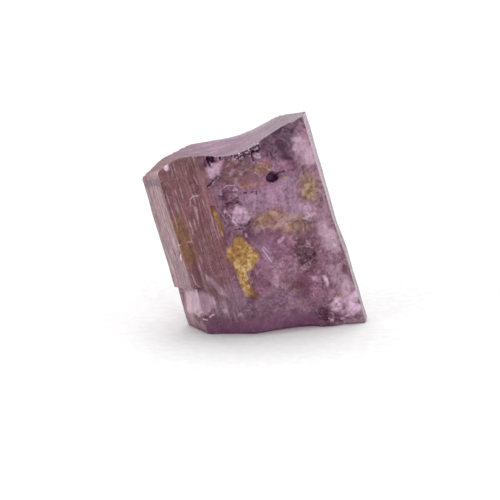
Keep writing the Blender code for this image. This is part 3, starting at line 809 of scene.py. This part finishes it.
def crystal_points():
    """Every ring's points from the middle of the underside to the middle of the top, with the
    distance along the outline and the markings at each."""
    section, along, total = outline()
    along = from_ridge(along, total)
    outward = outward_directions(section)
    top_height = smooth_surface(TOP_HEIGHTS)
    low = ground_height(section[:, 0], section[:, 1], 0.0)
    high = top_height(section[:, 0], section[:, 1])
    rings = UNDERSIDE_RINGS + SIDE_RINGS + TOP_RINGS
    ring = np.arange(rings + 1)
    share = np.minimum(np.minimum(ring / UNDERSIDE_RINGS, (rings - ring) / TOP_RINGS), 1.0)[:, None]
    up_share = np.clip((ring - UNDERSIDE_RINGS) / SIDE_RINGS, 0.0, 1.0)[:, None]
    height = low + (high - low) * up_share
    grid = height.shape
    along = np.broadcast_to(along, grid).ravel()
    x = np.broadcast_to(section[:, 0], grid)
    y = np.broadcast_to(section[:, 1], grid)
    plain = np.column_stack([x.ravel(), y.ravel(), height.ravel()])
    sway = (layered(plain, SWAY_ALONG), layered(plain, SWAY_HEIGHT))
    marks = {family: marking(family, along, height.ravel(), *sway) for family in PATCHES}
    fine, marks["etch"] = fine_depth(along, height.ravel(), plain, marks)
    # The under mark carries painted shade: it darkens the undercut band below the sides' lower edge
    marks["under"] = ramp(below_edge(along, height.ravel()), 0.0, UNDER_SHADE_BLEND)
    below_rim = np.broadcast_to(high, grid).ravel() - height.ravel()
    soft = (1.0 - ramp(along, *SOFT_RIM_END)) * (along > SOFT_RIM_START)
    rounding = rim_rounding(below_rim, soft)
    depth = (side_depth(along, height.ravel(), plain) + fine + rounding).reshape(grid)
    inward = depth * share ** DENT_REACH
    spots_x = CAP_MIDDLE[0] + (x - CAP_MIDDLE[0]) * share - outward[:, 0] * inward
    spots_y = CAP_MIDDLE[1] + (y - CAP_MIDDLE[1]) * share - outward[:, 1] * inward
    rim = np.column_stack([section, np.zeros(len(section))])
    broken = 0.5 + 0.5 * grain(rim, RIM_BREAK_SIZE, RIM_SEED)
    under = ring <= UNDERSIDE_RINGS
    over = ring >= UNDERSIDE_RINGS + SIDE_RINGS
    height = height.copy()
    lift = RIM_LIFT * broken * ramp(share[under], SEAT_SHARE, 1.0)
    height[under] = ground_height(spots_x[under], spots_y[under], lift)
    height[over] = top_height(spots_x[over], spots_y[over])
    height[over] += top_ripple(spots_x[over], spots_y[over])
    height = np.maximum(height, ground_height(spots_x, spots_y, 0.0))
    blend = soft * (1.0 - ramp(below_rim, 0.0, SOFT_RIM_BLEND))
    marks["top"] = np.maximum(np.broadcast_to(over[:, None], grid).ravel(), blend)
    sides = 1.0 - ramp(1.0 - np.broadcast_to(share, grid).ravel(), 0.0, MARKING_END)
    for family in tuple(PATCHES) + ("etch", "under"):
        marks[family] = marks[family] * sides
    points = np.stack([spots_x, spots_y, height], axis=-1)
    return points, along.reshape(grid), total, marks


def keep_values(mesh, name, domain, values):
    """Keep numbers or vectors on the mesh, as an attribute of its points or face corners."""
    kind, field = ("FLOAT", "value") if values.ndim == 1 else ("FLOAT_VECTOR", "vector")
    layer = mesh.attributes.new(name, kind, domain)
    layer.data.foreach_set(field, values.astype(np.float32).ravel())


def crystal_mesh():
    """The detailed mesh, with the markings at each of its points kept as attributes."""
    points, along, total, marks = crystal_points()
    rings, columns = points.shape[:2]
    body = points[1:-1].reshape(-1, 3)
    verts = np.vstack([body, points[0, 0], points[-1, 0]])
    foot, peak = len(verts) - 2, len(verts) - 1
    index = np.arange(len(body)).reshape(rings - 2, columns)
    beside = np.roll(index, -1, axis=1)
    quads = np.stack([index[:-1], beside[:-1], beside[1:], index[1:]], axis=-1).reshape(-1, 4)
    fans = [(foot, int(right), int(left)) for left, right in zip(index[0], beside[0])]
    fans += [(peak, int(left), int(right)) for left, right in zip(index[-1], beside[-1])]
    mesh = bpy.data.meshes.new("crystal_surface")
    mesh.from_pydata(to_world(verts).tolist(), [], [tuple(quad) for quad in quads.tolist()] + fans)
    mesh.polygons.foreach_set("use_smooth", [True] * len(mesh.polygons))
    for name, values in marks.items():
        grid = values.reshape(rings, columns)
        ends = (grid[0].mean(), grid[-1].mean())
        keep_values(mesh, name, "POINT", np.append(grid[1:-1].ravel(), ends))
    keep_values(mesh, "crystal_mm", "POINT", verts)
    keep_values(mesh, "side_mm", "CORNER", side_coordinates(mesh, along, verts, total))
    mesh.set_sharp_from_angle(angle=math.radians(SHARP_ANGLE))
    return mesh


def side_coordinates(mesh, along, verts, total):
    """Distance along the outline and height at each face corner, with no jump inside a face."""
    corners = np.zeros(len(mesh.loops), int)
    mesh.loops.foreach_get("vertex_index", corners)
    place = np.append(along[1:-1].ravel(), (0.0, 0.0))[corners]
    owner = np.repeat(np.arange(len(mesh.polygons)), [len(face.vertices) for face in mesh.polygons])
    furthest = np.full(len(mesh.polygons), -np.inf)
    np.maximum.at(furthest, owner, place)
    wraps = furthest[owner] - place > total / 2
    return np.column_stack([place + total * wraps, verts[corners, 2], np.zeros(len(corners))])


class Nodes:
    """Short calls for building the node tree of a material or a world."""

    def __init__(self, owner):
        owner.use_nodes = True
        self.tree = owner.node_tree
        self.tree.nodes.clear()

    def make(self, kind, inputs=None, **settings):
        """A node with its settings, and with its inputs linked or set by name or number."""
        node = self.tree.nodes.new(kind)
        for name, value in settings.items():
            setattr(node, name, value)
        for name, value in (inputs or {}).items():
            socket = node.inputs[name]
            if isinstance(value, bpy.types.NodeSocket):
                self.tree.links.new(value, socket)
            else:
                socket.default_value = (*value, 1.0) if socket.type == "RGBA" else value
        return node

    def attribute(self, name, output="Fac"):
        return self.make("ShaderNodeAttribute", attribute_name=name).outputs[output]

    def axis(self, vector, name):
        return self.make("ShaderNodeSeparateXYZ", {0: vector}).outputs[name]

    def stretched(self, coordinate, scale):
        inputs = {"Vector": coordinate, "Scale": scale}
        return self.make("ShaderNodeMapping", inputs).outputs["Vector"]

    def noise(self, coordinate, scale, detail=3.0, roughness=0.55, distortion=0.0):
        inputs = {"Vector": coordinate, "Scale": scale, "Detail": detail,
                  "Roughness": roughness, "Distortion": distortion}
        return self.make("ShaderNodeTexNoise", inputs).outputs["Fac"]

    def drawn_noise(self, coordinate, stretch, detail=2.0, roughness=0.6):
        """Noise drawn out into streaks along the axes with small factors."""
        return self.noise(self.stretched(coordinate, stretch), 1.0, detail, roughness)

    def cracks(self, coordinate, scale):
        inputs = {"Vector": coordinate, "Scale": scale}
        node = self.make("ShaderNodeTexVoronoi", inputs, feature="DISTANCE_TO_EDGE")
        return node.outputs["Distance"]

    def math(self, operation, first, second=0.0, clamp=False):
        inputs = {0: first, 1: second}
        return self.make("ShaderNodeMath", inputs, operation=operation, use_clamp=clamp).outputs[0]

    def times(self, *factors):
        product = factors[0]
        for factor in factors[1:]:
            product = self.math("MULTIPLY", product, factor)
        return product

    def span(self, value, low, high, to_low=0.0, to_high=1.0):
        """Ease from one number to another as the value goes from low to high."""
        inputs = {"Value": value, "From Min": low, "From Max": high,
                  "To Min": to_low, "To Max": to_high}
        node = self.make("ShaderNodeMapRange", inputs, interpolation_type="SMOOTHSTEP")
        return node.outputs["Result"]

    def ridge(self, value, level, width):
        """1 along the contour of a noise at one level, 0 beyond a small width from it."""
        gap = self.math("ABSOLUTE", self.math("SUBTRACT", value, level))
        return self.span(gap, width, 0.3 * width)

    def mix(self, share, first, second):
        inputs = {"Factor": share, "A": first, "B": second}
        return self.make("ShaderNodeMix", inputs, data_type="RGBA").outputs["Result"]

    def paint(self, base, *layers):
        """A base colour with others laid over it in turn, each by its share."""
        for share, colour in layers:
            base = self.mix(share, base, colour)
        return base

    def bump(self, height, strength, distance, normal=None):
        inputs = {"Height": height, "Strength": strength, "Distance": distance}
        if normal is not None:
            inputs["Normal"] = normal
        return self.make("ShaderNodeBump", inputs).outputs["Normal"]


# Colours, as linear red, green and blue
STRIP_DEEP = (0.22, 0.08, 0.11)
STRIP_ROSE = (0.57, 0.275, 0.33)
STRIATED_DARK = (0.36, 0.14, 0.145)
STRIATED_LIGHT = (0.56, 0.255, 0.255)
STRIATED_LOW = (0.33, 0.135, 0.23)
# Near-white painted highlight for the lines along the striations
STRIATED_GLINT = (0.96, 0.74, 0.72)
FRONT_DEEP = (0.23, 0.090, 0.155)
FRONT_LIGHT = (0.57, 0.285, 0.41)
FRONT_RIGHT = (0.97, 0.60, 0.74)
BEVEL_LOW = (0.36, 0.13, 0.22)
BEVEL_PALE = (0.82, 0.56, 0.74)
TOP_ROSE = (0.40, 0.16, 0.17)
TOP_MAUVE = (0.54, 0.25, 0.46)
TOP_GREY = (0.66, 0.46, 0.56)
TOP_LINE = (0.76, 0.50, 0.62)
# Pale lilac of the pale marks, used also for painted glints and highlights
PALE_LILAC_AND_GLINT = (0.94, 0.67, 0.86)
VIOLET_CLEAR = (0.76, 0.56, 0.77)
HAZE_BROWN = (0.30, 0.16, 0.125)
WINE_DARK = (0.14, 0.030, 0.045)
# Dark violet, partly painted shade in hollows, under the top rim and low on the sides
DARK_PATCH_AND_SHADE_VIOLET = (0.07, 0.026, 0.06)
# Painted shade of the undercut band low on the sides
UNDERCUT_SHADE_VIOLET = (0.31, 0.11, 0.24)
NEAR_BLACK = (0.022, 0.004, 0.022)
STAIN_BROWN = (0.38, 0.19, 0.07)
STAIN_YELLOW = (0.68, 0.50, 0.16)
EARTH_DARK = (0.20, 0.085, 0.022)
EARTH_MID = (0.52, 0.28, 0.09)
EARTH_LIGHT = (0.88, 0.62, 0.31)
PAPER_DARK = (0.80, 0.80, 0.80)
PAPER_LIGHT = (0.85, 0.85, 0.85)
BLACK = (0.0, 0.0, 0.0)
WHITE = (1.0, 1.0, 1.0)

# How clear the stone is: its optical values, and what each family of marks and the left strip
# take from the share of light that it lets through
CRYSTAL_IOR = 1.55
CRYSTAL_SPECULAR = 0.36
ABSORPTION_COLOUR = (0.66, 0.40, 0.58)
ABSORPTION_DENSITY = 160.0
CLEAR_LOSS = {"earth": 1.0, "pale": 0.58, "rust": 0.20, "top": 0.05, "dark_patch_and_shade": 0.66, "wine": 0.38}
STRIP_LOSS = 0.30


def zone_colour(n, side, place, hairs):
    """Base colour of the mineral on each of its sides, with fine lines down the striated face and
    painted highlight lines along the striations.
    """
    along, height = n.axis(side, "X"), n.axis(side, "Y")
    cloud = n.noise(place, 0.7, 3.0, 0.62, 0.6)
    streaks = n.drawn_noise(side, (4.6, 0.16, 1.0))
    lines = n.drawn_noise(side, (4.0, 0.12, 1.0))
    broken = n.drawn_noise(side, (2.6, 0.8, 1.0))
    thin = n.drawn_noise(side, (5.6, 0.07, 1.0), 1.0, 0.5)
    # Painted highlights: thin pale lines along the striations of the striated face, the strip and
    # the hidden sides
    glint_lines = n.times(n.ridge(thin, 0.52, 0.05), n.span(broken, 0.48, 0.60, 0.0, 0.95))
    striated = n.paint(
        n.mix(n.span(lines, 0.38, 0.62), STRIATED_DARK, STRIATED_LIGHT),
        (n.span(height, -0.6, -2.8, 0.0, 0.65), STRIATED_LOW),
        (n.span(hairs, 0.40, 0.30, 0.0, 0.20), WINE_DARK),
        (n.times(n.ridge(thin, 0.42, 0.05), 0.28), WINE_DARK),
        (n.times(glint_lines, 0.85), STRIATED_GLINT),
    )
    strip = n.paint(
        n.mix(n.span(streaks, 0.38, 0.58), STRIP_DEEP, STRIP_ROSE),
        (n.span(hairs, 0.44, 0.32, 0.0, 0.35), STRIATED_DARK),
        (n.times(n.ridge(thin, 0.46, 0.06), 0.4), WINE_DARK),
        (n.times(glint_lines, 0.5), STRIATED_GLINT),
    )
    grown = n.paint(
        n.mix(n.span(lines, 0.40, 0.62), FRONT_DEEP, FRONT_LIGHT),
        (n.times(glint_lines, 0.6), PALE_LILAC_AND_GLINT),
    )
    front = n.paint(
        n.mix(n.span(cloud, 0.36, 0.64), FRONT_DEEP, FRONT_LIGHT),
        (n.times(n.span(along, 4.3, 5.5), n.span(cloud, 0.30, 0.55, 0.45, 0.85)), FRONT_RIGHT),
        (n.times(n.span(along, 6.9, 7.6), n.span(broken, 0.40, 0.60, 0.2, 0.8)), grown),
    )
    bevel = n.times(n.span(along, 5.70, 5.86), n.span(along, 6.90, 6.70))
    return n.paint(
        strip,
        (n.span(along, -2.72, -2.30), striated),
        (n.span(along, -0.22, 0.06), front),
        (bevel, n.mix(n.span(height, -2.0, 2.0), BEVEL_LOW, BEVEL_PALE)),
    )


def top_colour(n, place):
    """The broken top, rosy at the left and grey at the right, with pale lines along its rim."""
    across = n.axis(place, "X")
    lines = n.drawn_noise(place, (0.30, 3.2, 0.3), 3.0, 0.62)
    pale = n.times(n.span(lines, 0.40, 0.66, 0.0, 0.8), n.span(across, -3.2, 0.2, 0.30, 1.0))
    return n.paint(
        n.mix(n.span(across, -2.6, 0.9), TOP_ROSE, TOP_MAUVE),
        (n.span(across, 1.5, 3.8), TOP_GREY),
        (pale, TOP_LINE),
    )


def earth_colour(n, place, height, earth):
    """Lumpy soil, lighter low in the large hollow and darkened round its edge with painted shade."""
    clods = n.noise(place, 2.4, 4.0, 0.72, 0.3)
    low_middle = n.times(n.span(height, -0.7, -1.5), n.span(height, -3.4, -2.2))
    lit = n.math("ADD", clods, n.times(low_middle, 0.05))
    return n.paint(
        n.mix(n.span(clods, 0.32, 0.50), EARTH_DARK, EARTH_MID),
        (n.span(lit, 0.50, 0.66), EARTH_LIGHT),
        # Painted shade: the earth darkens round its edge, where it meets the wall of its hollow
        (n.span(earth, 0.95, 0.55, 0.0, 0.7), EARTH_DARK),
    )


def mineral_colour(n, side, place, mark, speck, crumbs, hairs):
    """The colours of the zones under grain, curls, stains, painted shade, flaws, pale marks with
    painted glints and earth, in that order.
    """
    along, height = n.axis(side, "X"), n.axis(side, "Y")
    web = n.cracks(n.stretched(place, (1.0, 1.0, 0.7)), 3.6)
    swirl = n.noise(place, 2.3, 2.0, 0.55, 1.5)
    glitter = n.noise(place, 8.0, 1.0, 0.5)
    flaw = mark["flaw"]
    not_top = n.math("SUBTRACT", 1.0, mark["top"])
    calm = n.times(n.span(along, -0.4, 0.1, 0.30, 1.0), n.span(along, 6.8, 7.4, 1.0, 0.55))
    yellow = n.times(n.span(speck, 0.40, 0.60), n.span(along, -0.4, 0.1))
    curly = n.math("ADD", 0.18, n.times(mark["etch"], 0.26))
    dark_curls = n.times(n.ridge(swirl, 0.44, 0.035), n.span(speck, 0.60, 0.44), not_top, calm)
    light_curls = n.times(n.ridge(swirl, 0.52, 0.035), n.span(speck, 0.40, 0.56), not_top, calm,
                          n.span(mark["dark_patch_and_shade"], 0.2, 0.6, 1.0, 0.15))
    web_line = n.times(n.span(web, 0.07, 0.01), n.span(speck, 0.44, 0.60), not_top)
    web_share = n.math("ADD", 0.18, n.times(mark["etch"], 0.40))
    even = n.span(along, 0.1, -0.4, 0.0, 0.5)
    flecks = n.math("ADD", n.span(crumbs, 0.62, 0.40, 0.42, 1.0), even, clamp=True)
    # Painted glints: pale specks at the edges of the flaws where the glitter noise is high
    flaw_glints = n.times(n.span(flaw, 0.15, 0.35), n.span(glitter, 0.56, 0.60),
                       n.span(flaw, 0.8, 0.6))
    black = n.math("ADD", flaw, n.math("MULTIPLY", n.math("SUBTRACT", 0.5, glitter), 1.6))
    return n.paint(
        zone_colour(n, side, place, hairs),
        (mark["top"], top_colour(n, place)),
        (n.times(mark["violet"], n.span(speck, 0.70, 0.40, 0.60, 1.0)), VIOLET_CLEAR),
        (n.times(mark["haze"], n.span(speck, 0.70, 0.40, 0.65, 1.0)), HAZE_BROWN),
        (n.times(mark["rust"], n.span(crumbs, 0.25, 0.55, 0.75, 1.0)),
         n.mix(yellow, STAIN_BROWN, STAIN_YELLOW)),
        (n.times(n.span(speck, 0.48, 0.32), not_top, calm, 0.46), WINE_DARK),
        (n.times(n.span(speck, 0.52, 0.68), not_top, calm, 0.30), PALE_LILAC_AND_GLINT),
        (n.times(n.span(glitter, 0.50, 0.34), not_top, calm, 0.32), WINE_DARK),
        (n.times(dark_curls, curly), WINE_DARK),
        (n.times(mark["wine"], n.span(speck, 0.66, 0.40, 0.50, 1.0)), WINE_DARK),
        # Partly painted shade: the dark violet family darkens hollows, the triangle under the top
        # rim and the lower sides
        (n.times(mark["dark_patch_and_shade"], n.span(speck, 0.66, 0.38, 0.70, 1.0)), DARK_PATCH_AND_SHADE_VIOLET),
        # Painted shade: the undercut band low on the sides is darkened to a shadowed violet
        (n.times(mark["under"], 0.86), UNDERCUT_SHADE_VIOLET),
        (n.times(web_line, web_share), WINE_DARK),
        # Pale lilac marks, partly painted glints and highlights
        (n.times(mark["pale"], flecks), PALE_LILAC_AND_GLINT),
        (n.times(light_curls, curly, 1.15), PALE_LILAC_AND_GLINT),
        # Painted glints round the flaws
        (n.times(flaw_glints, 0.7), PALE_LILAC_AND_GLINT),
        (n.span(black, 0.42, 0.58), NEAR_BLACK),
        (mark["earth"], earth_colour(n, place, height, mark["earth"])),
    )


def crystal_material():
    """Clear mauve mineral with iron stains, earth in its hollows and etched patches."""
    material = bpy.data.materials.new("mauve_scapolite")
    n = Nodes(material)
    place = n.attribute("crystal_mm", "Vector")
    side = n.attribute("side_mm", "Vector")
    mark = {family: n.attribute(family) for family in (*PATCHES, "etch", "under", "top")}
    along = n.axis(side, "X")
    speck = n.noise(place, 2.6, 3.0, 0.62, 0.5)
    crumbs = n.noise(place, 6.5, 2.0, 0.6, 0.2)
    hairs = n.drawn_noise(side, (12.0, 0.20, 1.0), 1.0, 0.5)

    clear = n.span(speck, 0.3, 0.7, 0.76, 0.56)
    for family, loss in CLEAR_LOSS.items():
        clear = n.math("SUBTRACT", clear, n.times(mark[family], loss), clamp=True)
    strip_loss = n.span(along, -2.30, -2.72, 0.0, STRIP_LOSS)
    clear = n.math("SUBTRACT", clear, strip_loss, clamp=True)

    rough = n.span(speck, 0.3, 0.7, 0.08, 0.20)
    rough = n.math("ADD", rough, n.times(mark["etch"], 0.08))
    rough = n.math("ADD", rough, n.times(mark["earth"], 0.6), clamp=True)

    normal = n.bump(n.math("ADD", n.times(crumbs, 0.5), speck), 0.55, 0.09 * MM)
    striated = n.times(n.span(along, -2.52, -2.38), n.span(along, 0.06, -0.10))
    normal = n.bump(n.times(hairs, striated), 1.0, 0.08 * MM, normal)

    shader = n.make("ShaderNodeBsdfPrincipled", {
        "Base Color": mineral_colour(n, side, place, mark, speck, crumbs, hairs),
        "Roughness": rough,
        "Transmission Weight": clear,
        "Normal": normal,
        "IOR": CRYSTAL_IOR,
        "Specular IOR Level": CRYSTAL_SPECULAR,
    })
    depth = n.make("ShaderNodeVolumeAbsorption",
                   {"Color": ABSORPTION_COLOUR, "Density": ABSORPTION_DENSITY})
    n.make("ShaderNodeOutputMaterial",
           {"Surface": shader.outputs["BSDF"], "Volume": depth.outputs["Volume"]})
    return material


def link(thing):
    bpy.context.scene.collection.objects.link(thing)
    return thing


def make_crystal():
    """The detailed crystal in place of the plain solid."""
    mesh = crystal_mesh()
    mesh.materials.append(crystal_material())
    crystal = link(bpy.data.objects.new("crystal_surface", mesh))
    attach(crystal, "root")
    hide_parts("scapolite_crystal")


# Floor: half its size, how far it lies below the crystal, and its fibre's scale, all in metres
FLOOR_HALF = 0.6
FLOOR_DROP = 0.00001
FIBRE_SCALE = 2200.0
PAPER_ROUGHNESS = 0.9
PAPER_SPECULAR = 0.1

# Soft square lamps, in metres and watts: name, place, size and power
LAMPS = (
    ("overhead_softbox", (-0.06, 0.16, 0.40), 0.26, 1.10),
    ("left_softbox", (-0.30, -0.16, 0.30), 0.20, 0.24),
    ("front_softbox", (0.10, -0.36, 0.26), 0.12, 0.26),
)
LAMP_TARGET = Vector((0.0, 0.0, 0.005))

# The dim room: its strength, and how its light falls off below and in front of the crystal
ROOM_STRENGTH = 0.85
ROOM_UPWARD = (0.0, 0.55, 0.42, 1.15)
ROOM_BACKWARD = (-0.8, 0.2, 0.35, 1.0)


def make_floor():
    """A wide white sheet of paper."""
    mesh = bpy.data.meshes.new("paper")
    corners = [(x * FLOOR_HALF, y * FLOOR_HALF, 0) for x, y in ((-1, -1), (1, -1), (1, 1), (-1, 1))]
    mesh.from_pydata(corners, [], [(0, 1, 2, 3)])
    material = bpy.data.materials.new("white_paper")
    n = Nodes(material)
    place = n.make("ShaderNodeTexCoord").outputs["Object"]
    fibre = n.noise(place, FIBRE_SCALE, 3.0, 0.6)
    shader = n.make("ShaderNodeBsdfPrincipled", {
        "Base Color": n.mix(n.span(fibre, 0.3, 0.7), PAPER_DARK, PAPER_LIGHT),
        "Roughness": PAPER_ROUGHNESS,
        "Specular IOR Level": PAPER_SPECULAR,
    })
    n.make("ShaderNodeOutputMaterial", {"Surface": shader.outputs["BSDF"]})
    mesh.materials.append(material)
    floor = link(bpy.data.objects.new("paper_floor", mesh))
    floor.location.z = -FLOOR_DROP


def make_light():
    """Soft light from above and behind, with a dimmer room in front."""
    for name, place, size, power in LAMPS:
        data = bpy.data.lights.new(name, "AREA")
        data.size = size
        data.energy = power
        lamp = link(bpy.data.objects.new(name, data))
        lamp.location = place
        lamp.rotation_mode = "QUATERNION"
        lamp.rotation_quaternion = (LAMP_TARGET - lamp.location).to_track_quat("-Z", "Y")
    world = bpy.data.worlds.new("studio")
    bpy.context.scene.world = world
    n = Nodes(world)
    direction = n.make("ShaderNodeTexCoord").outputs["Generated"]
    upward = n.span(n.axis(direction, "Z"), *ROOM_UPWARD)
    backward = n.span(n.axis(direction, "Y"), *ROOM_BACKWARD)
    light = n.mix(n.times(upward, backward), BLACK, WHITE)
    background = n.make("ShaderNodeBackground", {"Color": light, "Strength": ROOM_STRENGTH})
    n.make("ShaderNodeOutputWorld", {"Surface": background.outputs["Background"]})


# The camera: how far down it looks, its lens and sensor, the picture's size, its pixels to the
# millimetre, and the pixel that the middle of the crystal's axis is at
CAMERA_DOWN = 14.5
CAMERA_CLIP = (0.01, 5.0)
LENS = 300.0
SENSOR = 36.0
IMAGE_SIZE = 500
PIXELS_PER_MM = 20.0
AXIS_MIDDLE_PIXEL = (238.7, 222.0)


def make_camera():
    """The camera at the photograph's viewing angle, with the axis middle at its pixel."""
    data = bpy.data.cameras.new("camera")
    data.lens = LENS
    data.sensor_width = SENSOR
    data.clip_start, data.clip_end = CAMERA_CLIP
    camera = link(bpy.data.objects.new("camera", data))
    down = math.radians(CAMERA_DOWN)
    forward = Vector((0.0, math.cos(down), -math.sin(down)))
    right = Vector((1.0, 0.0, 0.0))
    up = right.cross(forward)
    distance = IMAGE_SIZE / PIXELS_PER_MM * LENS / SENSOR
    beside = (AXIS_MIDDLE_PIXEL[0] - IMAGE_SIZE / 2) / PIXELS_PER_MM
    above = (IMAGE_SIZE / 2 - AXIS_MIDDLE_PIXEL[1]) / PIXELS_PER_MM
    eye = AXIS_MIDDLE - forward * distance - right * beside - up * above
    camera.location = eye * MM
    camera.rotation_euler = (math.radians(90.0 - CAMERA_DOWN), 0.0, 0.0)
    bpy.context.scene.camera = camera


def set_picture():
    """Plain colours and a clean picture."""
    scene = bpy.context.scene
    scene.view_settings.view_transform = "Standard"
    scene.view_settings.look = "None"
    scene.cycles.use_denoising = True


make_crystal()
make_floor()
make_light()
make_camera()
set_picture()
